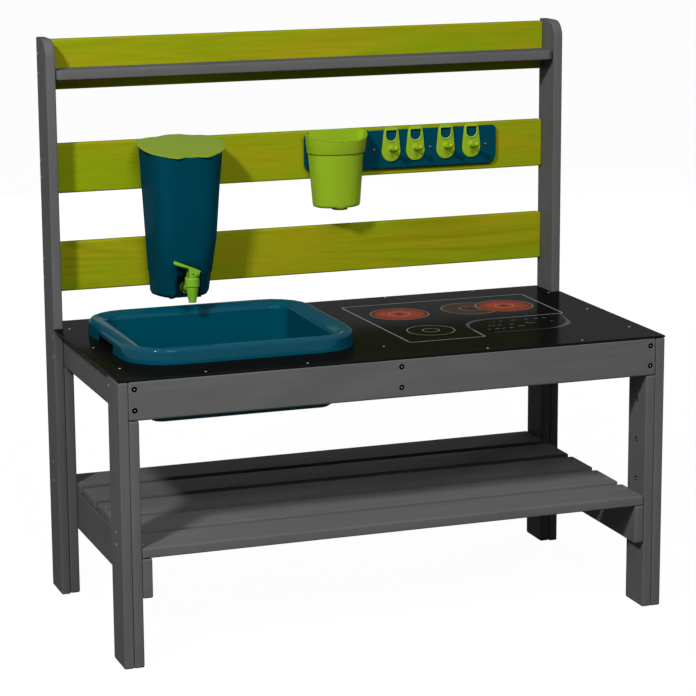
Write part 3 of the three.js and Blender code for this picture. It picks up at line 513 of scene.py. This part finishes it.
def rounder_cup():
    """Draws the cup's bowed front from a squarish curve in to nearly half an ellipse, and
    sharpens the step under its collar"""
    base_half, mouth_half = 46, 60
    base_depth, mouth_depth = 48, 58
    boss, tall, back_corner = 3, 142, 12
    collar_height, collar_step, sharp_step, step_shrink = 40, 1.6, 0.4, 0.972
    packed_squareness, squareness = 0.68, 0.92
    level_error, floor_error = 0.2, 0.5
    middle = middle_across("cup")
    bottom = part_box("cup")[0].z / MM + boss
    collar = bottom + tall - collar_height

    def reshape(x, y, z):
        share = min(1, max(0, (z - bottom) / tall))
        side = base_half + (mouth_half - base_half) * share
        bow = base_depth + (mouth_depth - base_depth) * share - back_corner
        u, v = x - middle, CUP_BACK - back_corner - y

        def reach(curve):
            power = 2 / curve
            return ((abs(u) / side) ** power + (v / bow) ** power) ** (1 / power)

        if v > 0 and z > bottom - floor_error:
            pull = reach(packed_squareness) / reach(squareness)
            if abs(z - (collar - collar_step)) < level_error:
                pull *= step_shrink
                z = collar - sharp_step
            u, v = u * pull, v * pull
        return middle + u, CUP_BACK - back_corner - v, z
    return reshape


def stout_lever(x, y, z):
    """The lever's paddle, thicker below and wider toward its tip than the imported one. It rises
    to the left of its pin, and the change keeps clear of the block under its root."""
    pin_x, pin_y, pin_z = -255.5, 131.5, 595.5
    heel, heel_top, rise, clear = 14, 5.2, 23, 12
    blend, widening, thickening = 10, 0.25, 0.6
    beyond = pin_x - x - clear
    if beyond < 0:
        return x, y, z
    share = min(1, beyond / blend)
    upper = pin_z + heel_top + math.tan(math.radians(rise)) * (heel + clear + beyond)
    wider_y = pin_y + (y - pin_y) * (1 + widening * share)
    return x, wider_y, z - thickening * share * max(0, upper - z)


def shapely_hook(node):
    """A hook that narrows toward its window at the top"""
    packed_window, packed_outer = 12.25, 19.25
    window_narrowing, foot_width, narrowing, narrowing_power = 0.12, 0.97, 0.27, 1.5
    low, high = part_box(node)
    middle = middle_across(node)
    top, bottom = high.z / MM, low.z / MM

    def reshape(x, y, z):
        across = abs(x - middle)
        rise = max(0, (z - bottom - packed_outer) / (top - bottom - packed_outer))
        window = packed_window * (1 - window_narrowing * rise)
        outer = packed_outer * (foot_width - narrowing * rise ** narrowing_power)
        if across < packed_window:
            across *= window / packed_window
        else:
            stretch = (outer - window) / (packed_outer - packed_window)
            across = window + (across - packed_window) * stretch
        return middle + math.copysign(across, x - middle), y, z
    return reshape


def add_ball(shape, centre, radius, flatten=1.0):
    """Ball in millimetres. A flatten below 1 makes it thinner along Y."""
    made = bmesh.ops.create_uvsphere(shape, u_segments=20, v_segments=12, radius=radius * MM)
    for corner in made["verts"]:
        corner.co.y *= flatten
        corner.co += Vector(centre) * MM


def add_loop_tube(shape, path, centres, radius, sides=8):
    """Closed tube through centres, in millimetres. A flat path of (x, z) points says how its
    section turns."""
    turns = [2 * math.pi * side / sides for side in range(sides)]
    rings = []
    for i, centre in enumerate(centres):
        before, after = path[i - 1], path[(i + 1) % len(path)]
        along = Vector((after[0] - before[0], 0, after[1] - before[1])).normalized()
        across = along.cross(Vector((0, 1, 0)))
        section = [across * math.cos(turn) + Vector((0, math.sin(turn), 0)) for turn in turns]
        rings.append([shape.verts.new((centre + radius * corner) * MM) for corner in section])
    for i, ring in enumerate(rings):
        other = rings[(i + 1) % len(rings)]
        for side in range(sides):
            beside = (side + 1) % sides
            shape.faces.new((ring[side], ring[beside], other[beside], other[side]))
    bmesh.ops.recalc_face_normals(shape, faces=shape.faces)


def hook_knobs(index, lime):
    """Round boss at the root of a hook's peg and a knob on its tip"""
    peg_drop, tip_rise = 40, 3
    boss_radius, boss_flatten = 6.6, 0.55
    knob_radius, knob_inset = 5.3, 5.6
    node = f"hook_{index}"
    low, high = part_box(node)
    middle = middle_across(node)
    tip, peg_z = low.y / MM, high.z / MM - peg_drop
    shape = bmesh.new()
    add_ball(shape, (middle, HOOK_FACE, peg_z), boss_radius, boss_flatten)
    add_ball(shape, (middle, tip + knob_inset, peg_z + tip_rise), knob_radius)
    new_piece(f"{node}_knobs", shape, lime, node_body(node), KNOB_SMOOTH_ANGLE)


def hook_window_rim(index, rim):
    """Thin raised rim round a hook's window, which is straight at the top and round below"""
    window_top_drop, window_foot_drop, half, rim_radius = 5, 27, 12.6, 1.3
    node = f"hook_{index}"
    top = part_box(node)[1].z / MM
    middle = middle_across(node)
    window_top, round_z = top - window_top_drop, top - window_foot_drop + half
    path = [(-half, window_top), (-half, round_z)]
    path += [(half * math.cos(a), round_z + half * math.sin(a))
             for a in (math.radians(degrees) for degrees in range(190, 360, 10))]
    path += [(half, round_z), (half, window_top)]
    reshape = shapely_hook(node)
    centres = [Vector(reshape(middle + x, HOOK_FACE, z)) for x, z in path]
    shape = bmesh.new()
    add_loop_tube(shape, path, centres, rim_radius)
    # The rim's paler lime is a painted highlight
    new_piece(f"{node}_window_rim", shape, rim, node_body(node), RIM_SMOOTH_ANGLE)


def dress_moulded():
    looks = {
        "satin_teal": plastic("satin_teal", TEAL, roughness=0.5, coat=0.05, coat_roughness=0.35),
        "lime_plastic": moulded_lime("lime_plastic", LIME_PLASTIC),
        "seal_rubber": plastic("seal", SEAL, roughness=0.6),
        "screw_steel": plain("screw_steel", STEEL, roughness=0.4, metallic=0.8),
        "basin_teal": plastic("basin_teal", BASIN, roughness=0.4, coat=0.2, coat_roughness=0.1),
    }
    # The lid's darker copy of the lime plastic is painted shade for its lit top
    lid = moulded_lime("lid_lime_painted_shade", LID_LIME_SHADED)
    tap = moulded_lime("tap_lime", TAP_PLASTIC)
    reshapes = {"basin": deeper_bowl(), "cup": rounder_cup(), "tap_lever": stout_lever}
    reshapes.update({f"hook_{i}": shapely_hook(f"hook_{i}") for i in HOOKS})
    for part in frame["record"]["subparts"]:
        node, slot = part["node"], part["material_slot"]
        if slot in looks:
            look = looks[slot]
            if node == "tank_lid":
                look = lid
            elif slot == "lime_plastic" and node.startswith("tap_"):
                look = tap
            dress(node, look, node_body(node), reshape=reshapes.get(node))
    # The window rims get a paler lime than the hooks as a painted highlight
    rim = plastic("hook_rim_painted_highlight", RIM_HIGHLIGHT_LIME, roughness=0.35, coat=0.2, coat_roughness=0.2)
    for index in HOOKS:
        hook_knobs(index, looks["lime_plastic"])
        hook_window_rim(index, rim)


def dress_worktop():
    sheet = worktop_paint("worktop_black", WORKTOP)
    dress("worktop", sheet.material, "frame")


# Screws: in wood each sits in a recess that is cut into the board, darkened by a black disc of
# painted shade on its floor. Sizes and places are in millimetres, and the right side of the frame
# mirrors the left one.

# Radius of a recess and of the screw head in it
FRONT_SCREW = (5.0, 0.9)
SIDE_SCREW = (3.8, 2.2)
SLAT_SCREW = (2.8, 1.2)

# Columns of screws in boards on end: a place along Y, counted from the frame's middle in a post
# and from its front in a leg, and heights
POST_COLUMNS = ((251, (992, 956, 800, 769, 620.5, 585)), (202, (482, 446)), (228, (244, 209)))
LEG_COLUMNS = ((64, (479, 444)), (38, (232, 210)))
INNER_LEG_COLUMNS = ((37, (380, 305, 232)),)


def add_disc(shape, centre, normal, radius, height):
    """Disc in metres that rises from its centre along a normal"""
    turn = normal.to_track_quat("Z", "Y").to_matrix().to_4x4()
    bmesh.ops.create_cone(
        shape, cap_ends=True, segments=20, radius1=radius, radius2=radius, depth=height,
        matrix=Matrix.Translation(centre + normal * height / 2) @ turn)


def cut_recesses(board, places, normal, radius, depth):
    """Cuts a round recess at each place, in metres, into the copy that shows a board"""
    piece = bpy.data.objects[f"{board}_look"]
    shape = bmesh.new()
    for place in places:
        add_disc(shape, place - normal * depth, normal, radius, 2 * depth)
    mesh = bpy.data.meshes.new("cutter")
    shape.to_mesh(mesh)
    shape.free()
    cutter = bpy.data.objects.new("cutter", mesh)
    scene.collection.objects.link(cutter)
    piece.modifiers.clear()
    cut = piece.modifiers.new("recesses", "BOOLEAN")
    cut.operation = "DIFFERENCE"
    cut.solver = "EXACT"
    cut.object = cutter
    evaluated = piece.evaluated_get(bpy.context.evaluated_depsgraph_get())
    cut_mesh = bpy.data.meshes.new_from_object(evaluated)
    piece.modifiers.clear()
    piece.data = cut_mesh
    bpy.data.objects.remove(cutter)
    even_shading(piece, BOARD_SMOOTH_ANGLE)


def new_screw_piece(name, shape, material):
    new_piece(name, shape, material, "frame", SCREW_SMOOTH_ANGLE)


def wood_screws(name, board, places, normal, looks, radii):
    """One group of screws sunk in a board: places are in millimetres on its face"""
    depth, shade_disc_height, head_height, play = 1.4, 0.3, 1.0, 0.1
    recess, head = radii
    normal = Vector(normal)
    places = [Vector(place) * MM for place in places]
    cut_recesses(board, places, normal, recess * MM, depth * MM)
    shade_discs = bmesh.new()
    heads = bmesh.new()
    for place in places:
        bottom = place - normal * depth * MM
        # Black disc on the recess's floor: painted shade
        add_disc(shade_discs, bottom, normal, (recess - play) * MM, shade_disc_height * MM)
        # Pale head, partly a painted highlight
        add_disc(heads, bottom, normal, head * MM, head_height * MM)
    new_screw_piece(f"{name}_holes", shade_discs, looks["hole"])
    new_screw_piece(f"{name}_heads", heads, looks["head"])


def frame_screws(looks):
    outer, front, leg_thickness = HALF_WIDTH / MM, FRONT / MM, 35

    def in_columns(face, start, columns):
        return [(face, start + y, z) for y, heights in columns for z in heights]

    for side, hand in (("left", -1), ("right", 1)):
        outward, inward = (hand, 0, 0), (-hand, 0, 0)
        post = in_columns(hand * outer, 0, POST_COLUMNS)
        wood_screws(f"post_{side}_screws", f"post_{side}", post, outward, looks, SIDE_SCREW)
        leg = in_columns(hand * outer, front, LEG_COLUMNS)
        wood_screws(f"front_leg_{side}_screws", f"front_leg_{side}", leg, outward, looks,
                    SIDE_SCREW)
        inner = in_columns(hand * (outer - leg_thickness), front, INNER_LEG_COLUMNS)
        wood_screws(f"inner_leg_{side}_screws", f"front_inner_leg_{side}", inner, inward, looks,
                    FRONT_SCREW)
    apron = [(x, front, z) for x in (-472, 0, 472) for z in (447, 483)]
    wood_screws("apron_screws", "front_apron", apron, (0, -1, 0), looks, FRONT_SCREW)


def worktop_screws(looks):
    """Small flat heads on the worktop sheet"""
    head_radius, head_height = 1.8, 0.5
    top = WORKTOP_TOP / MM
    front, back = FRONT / MM, BACK / MM
    places = [(hand * 473, front + y, top) for hand in (-1, 1) for y in (89, 267, 441)]
    places += [(x, front + 14, top) for x in (-345, -165, 165, 345)]
    places += [(x, back - 10, top) for x in (-345, -162, 162, 345)]
    places += [(2, front + 93, top)]
    heads = bmesh.new()
    for place in places:
        add_disc(heads, Vector(place) * MM, Vector((0, 0, 1)), head_radius * MM, head_height * MM)
    # Their pale grey is partly a painted highlight
    new_screw_piece("worktop_screws_heads", heads, looks["head"])


def slat_screws(looks):
    for index in SLATS:
        board = f"shelf_slat_{index}"
        low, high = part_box(board)
        middle = (low.y + high.y) / 2 / MM
        places = [(hand * 456, middle + y, high.z / MM) for hand in (-1, 1) for y in (-17, 17)]
        wood_screws(f"{board}_screws", board, places, (0, 0, 1), looks, SLAT_SCREW)


# Printed hob. Its places and widths are in millimetres, and each layer of print lies a little
# higher than the one below it.

PRINT_LIFT = 0.12 * MM
PRINT_BASE = WORKTOP_TOP + PRINT_LIFT
BURNER_RADIUS = 54


def on_worktop(x, y):
    """Place whose y counts from the worktop's front edge"""
    return x, y + FRONT / MM


BURNER_SINGLE = on_worktop(129.3, 348)
BURNER_SMALL = on_worktop(129, 190.5)
ZONE_LEFT = on_worktop(271, 350)
ZONE_RIGHT = on_worktop(340.5, 351)


def circle(centre, radius, start=0.0, end=360.0, steps=72):
    """Points along an arc, whose steps are counted for a whole turn"""
    count = max(2, round(steps * abs(end - start) / 360))
    angles = [math.radians(start + (end - start) * i / count) for i in range(count + 1)]
    return [(centre[0] + radius * math.cos(a), centre[1] + radius * math.sin(a)) for a in angles]


def rounded_loop(corners, steps=16):
    """Points round a loop of (x, y, radius) corners, with each corner rounded"""
    points = []
    for i, (x, y, radius) in enumerate(corners):
        here = Vector((x, y))
        before = (Vector(corners[i - 1][:2]) - here).normalized()
        after = (Vector(corners[(i + 1) % len(corners)][:2]) - here).normalized()
        half = before.angle(after) / 2
        reach = radius / math.tan(half)
        start, end = here + before * reach, here + after * reach
        for step in range(steps + 1):
            share = step / steps
            point = start.lerp(here, share).lerp(here.lerp(end, share), share)
            points.append((point.x, point.y))
    return points


def stroke(shape, points, width, height, closed=False):
    """Flat strip of an even width along points, at a height in metres"""
    count = len(points)
    sides = []
    for i, point in enumerate(points):
        here = Vector(point)
        before = Vector(points[i - 1]) if closed or i else here
        after = Vector(points[(i + 1) % count]) if closed or i < count - 1 else here
        along = (after - before).normalized()
        across = Vector((-along.y, along.x)) * width / 2
        sides.append([shape.verts.new((*((here + s * across) * MM), height)) for s in (-1, 1)])
    for i in range(count if closed else count - 1):
        a, b = sides[i], sides[(i + 1) % count]
        shape.faces.new((a[0], b[0], b[1], a[1]))


def swelling(shape, points, width, height):
    """Flat crescent at a height in metres: it follows points and widens on its right-hand side
    toward its middle"""
    count = len(points)
    thin = 2.4
    outer, inner = [], []
    for i, point in enumerate(points):
        here = Vector(point)
        before, after = Vector(points[max(i - 1, 0)]), Vector(points[min(i + 1, count - 1)])
        along = (after - before).normalized()
        across = Vector((along.y, -along.x))
        reach = thin + (width - thin) * math.sin(math.pi * i / (count - 1))
        outer.append(shape.verts.new((*(here * MM), height)))
        inner.append(shape.verts.new((*((here + across * reach) * MM), height)))
    for i in range(count - 1):
        shape.faces.new((outer[i], inner[i], inner[i + 1], outer[i + 1]))


def new_print(name, shape, material):
    new_piece(name, shape, material, "frame")


def hob_outline(line):
    line_width = 2.9
    corners = [(49.5, 446, 9), (417, 447, 12), (415, 248, 6),
               (203, 247, 80), (200, 107, 2), (57, 107, 10)]
    shape = bmesh.new()
    loop = rounded_loop([(*on_worktop(x, y), radius) for x, y, radius in corners])
    stroke(shape, loop, line_width, PRINT_BASE, closed=True)
    new_print("hob_outline", shape, line)


def hob_panel_outline(panel):
    """The control panel's own line, which swells at two of its corners"""
    height, line_width = PRINT_BASE + PRINT_LIFT, 2.4
    start, finish = on_worktop(409, 245), on_worktop(228, 131)
    turn_centre, turn_radius, turn_swelling = on_worktop(338, 190), 60, 11
    bend_x, bend_y, bend_size, bend_steps, bend_swelling = 203, 247, 80, 20, 7
    shape = bmesh.new()
    turn = circle(turn_centre, turn_radius, start=0, end=-90, steps=48)
    swelling(shape, [start] + turn, turn_swelling, height)
    stroke(shape, [turn[-1], finish], line_width, height)
    shares = [i / bend_steps for i in range(bend_steps, -1, -1)]
    bend = [on_worktop(bend_x + bend_size * t ** 2, bend_y - bend_size * (1 - t) ** 2)
            for t in shares]
    swelling(shape, bend, bend_swelling, height)
    new_print("hob_panel_outline", shape, panel)


def hob_marks(line):
    """Short dashes of the control panel, row by row: y, then x and length of each"""
    rows = ((221, ((262, 4), (275, 6), (299, 8), (325, 7), (343, 9), (359, 8))),
            (190, ((240, 5), (248, 6), (259, 8), (282, 8), (363, 5))),
            (161, ((228, 6), (242, 8), (255, 7), (269, 8))),
            (170, ((291, 13),)))
    tick = ((317, 199), (319, 188), (331, 186))
    dash_width, tick_width = 2, 1.6
    marks = bmesh.new()
    for y, row in rows:
        for x, length in row:
            stroke(marks, [on_worktop(x, y), on_worktop(x + length, y)], dash_width, PRINT_BASE)
    stroke(marks, [on_worktop(*point) for point in tick], tick_width, PRINT_BASE)
    new_print("hob_marks", marks, line)


def hob_glows():
    """Glowing plates inside their rings: name, middle, inset, two tones and layer"""
    glows = (("hob_glow_single", BURNER_SINGLE, 3, GLOW_BRIGHT, GLOW_DEEP, 1),
             ("hob_glow_zone", ZONE_LEFT, 2, GLOW_DIM, GLOW_DIM, 1),
             ("hob_glow_bright", ZONE_RIGHT, 2, GLOW_BRIGHT, GLOW_DEEP, 2))
    for name, centre, inset, bright, deep, layer in glows:
        radius = BURNER_RADIUS - inset
        height = PRINT_BASE + layer * PRINT_LIFT
        place = (centre[0] * MM, centre[1] * MM, height)
        glow = burner_glow(name, place, radius * MM, bright, deep)
        shape = bmesh.new()
        shape.faces.new([shape.verts.new((x * MM, y * MM, height))
                         for x, y in circle(centre, radius)[:-1]])
        new_print(name, shape, glow)


def hob_rings(cream):
    """Ring round each plate and a small one at its middle. The left ring of the double zone
    stops at the right one, and its small ring is open on one side."""
    height, width = PRINT_BASE + 3 * PRINT_LIFT, 1.7
    open_radius, open_angle, open_width = 20, 20, 1.5
    whole_rings = ((BURNER_SINGLE, BURNER_RADIUS), (BURNER_SINGLE, 20), (BURNER_SMALL, 43),
                   (BURNER_SMALL, 15), (ZONE_RIGHT, BURNER_RADIUS), (ZONE_RIGHT, 17))
    rings = bmesh.new()
    for centre, radius in whole_rings:
        stroke(rings, circle(centre, radius)[:-1], width, height, closed=True)
    opened = circle(ZONE_LEFT, open_radius, open_angle, 360 - open_angle)
    stroke(rings, opened, open_width, height)
    split = math.degrees(math.acos((ZONE_RIGHT[0] - ZONE_LEFT[0]) / 2 / BURNER_RADIUS))
    stroke(rings, circle(ZONE_LEFT, BURNER_RADIUS, split, 360 - split), width, height)
    new_print("hob_rings", rings, cream)


def print_hob():
    line = worktop_paint("print_line", PRINT_LINE).material
    panel = worktop_paint("print_panel", PRINT_PANEL).material
    cream = worktop_paint("print_cream", PRINT_CREAM).material
    hob_outline(line)
    hob_panel_outline(panel)
    hob_marks(line)
    hob_glows()
    hob_rings(cream)


aim_camera()
white_room()
pale_floor()
light_kitchen()

dress_wood()
dress_moulded()
# The black discs in the screw holes are painted shade
screw_looks = {"hole": plastic("screw_hole_painted_shade", SCREW_HOLE_SHADE, roughness=0.8),
               # The heads' pale grey is partly a painted highlight
               "head": plain("screw_head_and_highlight", SCREW_HEAD_AND_HIGHLIGHT, roughness=0.5)}
dress_worktop()
frame_screws(screw_looks)
worktop_screws(screw_looks)
slat_screws(screw_looks)
print_hob()

scene.view_settings.view_transform = "Standard"
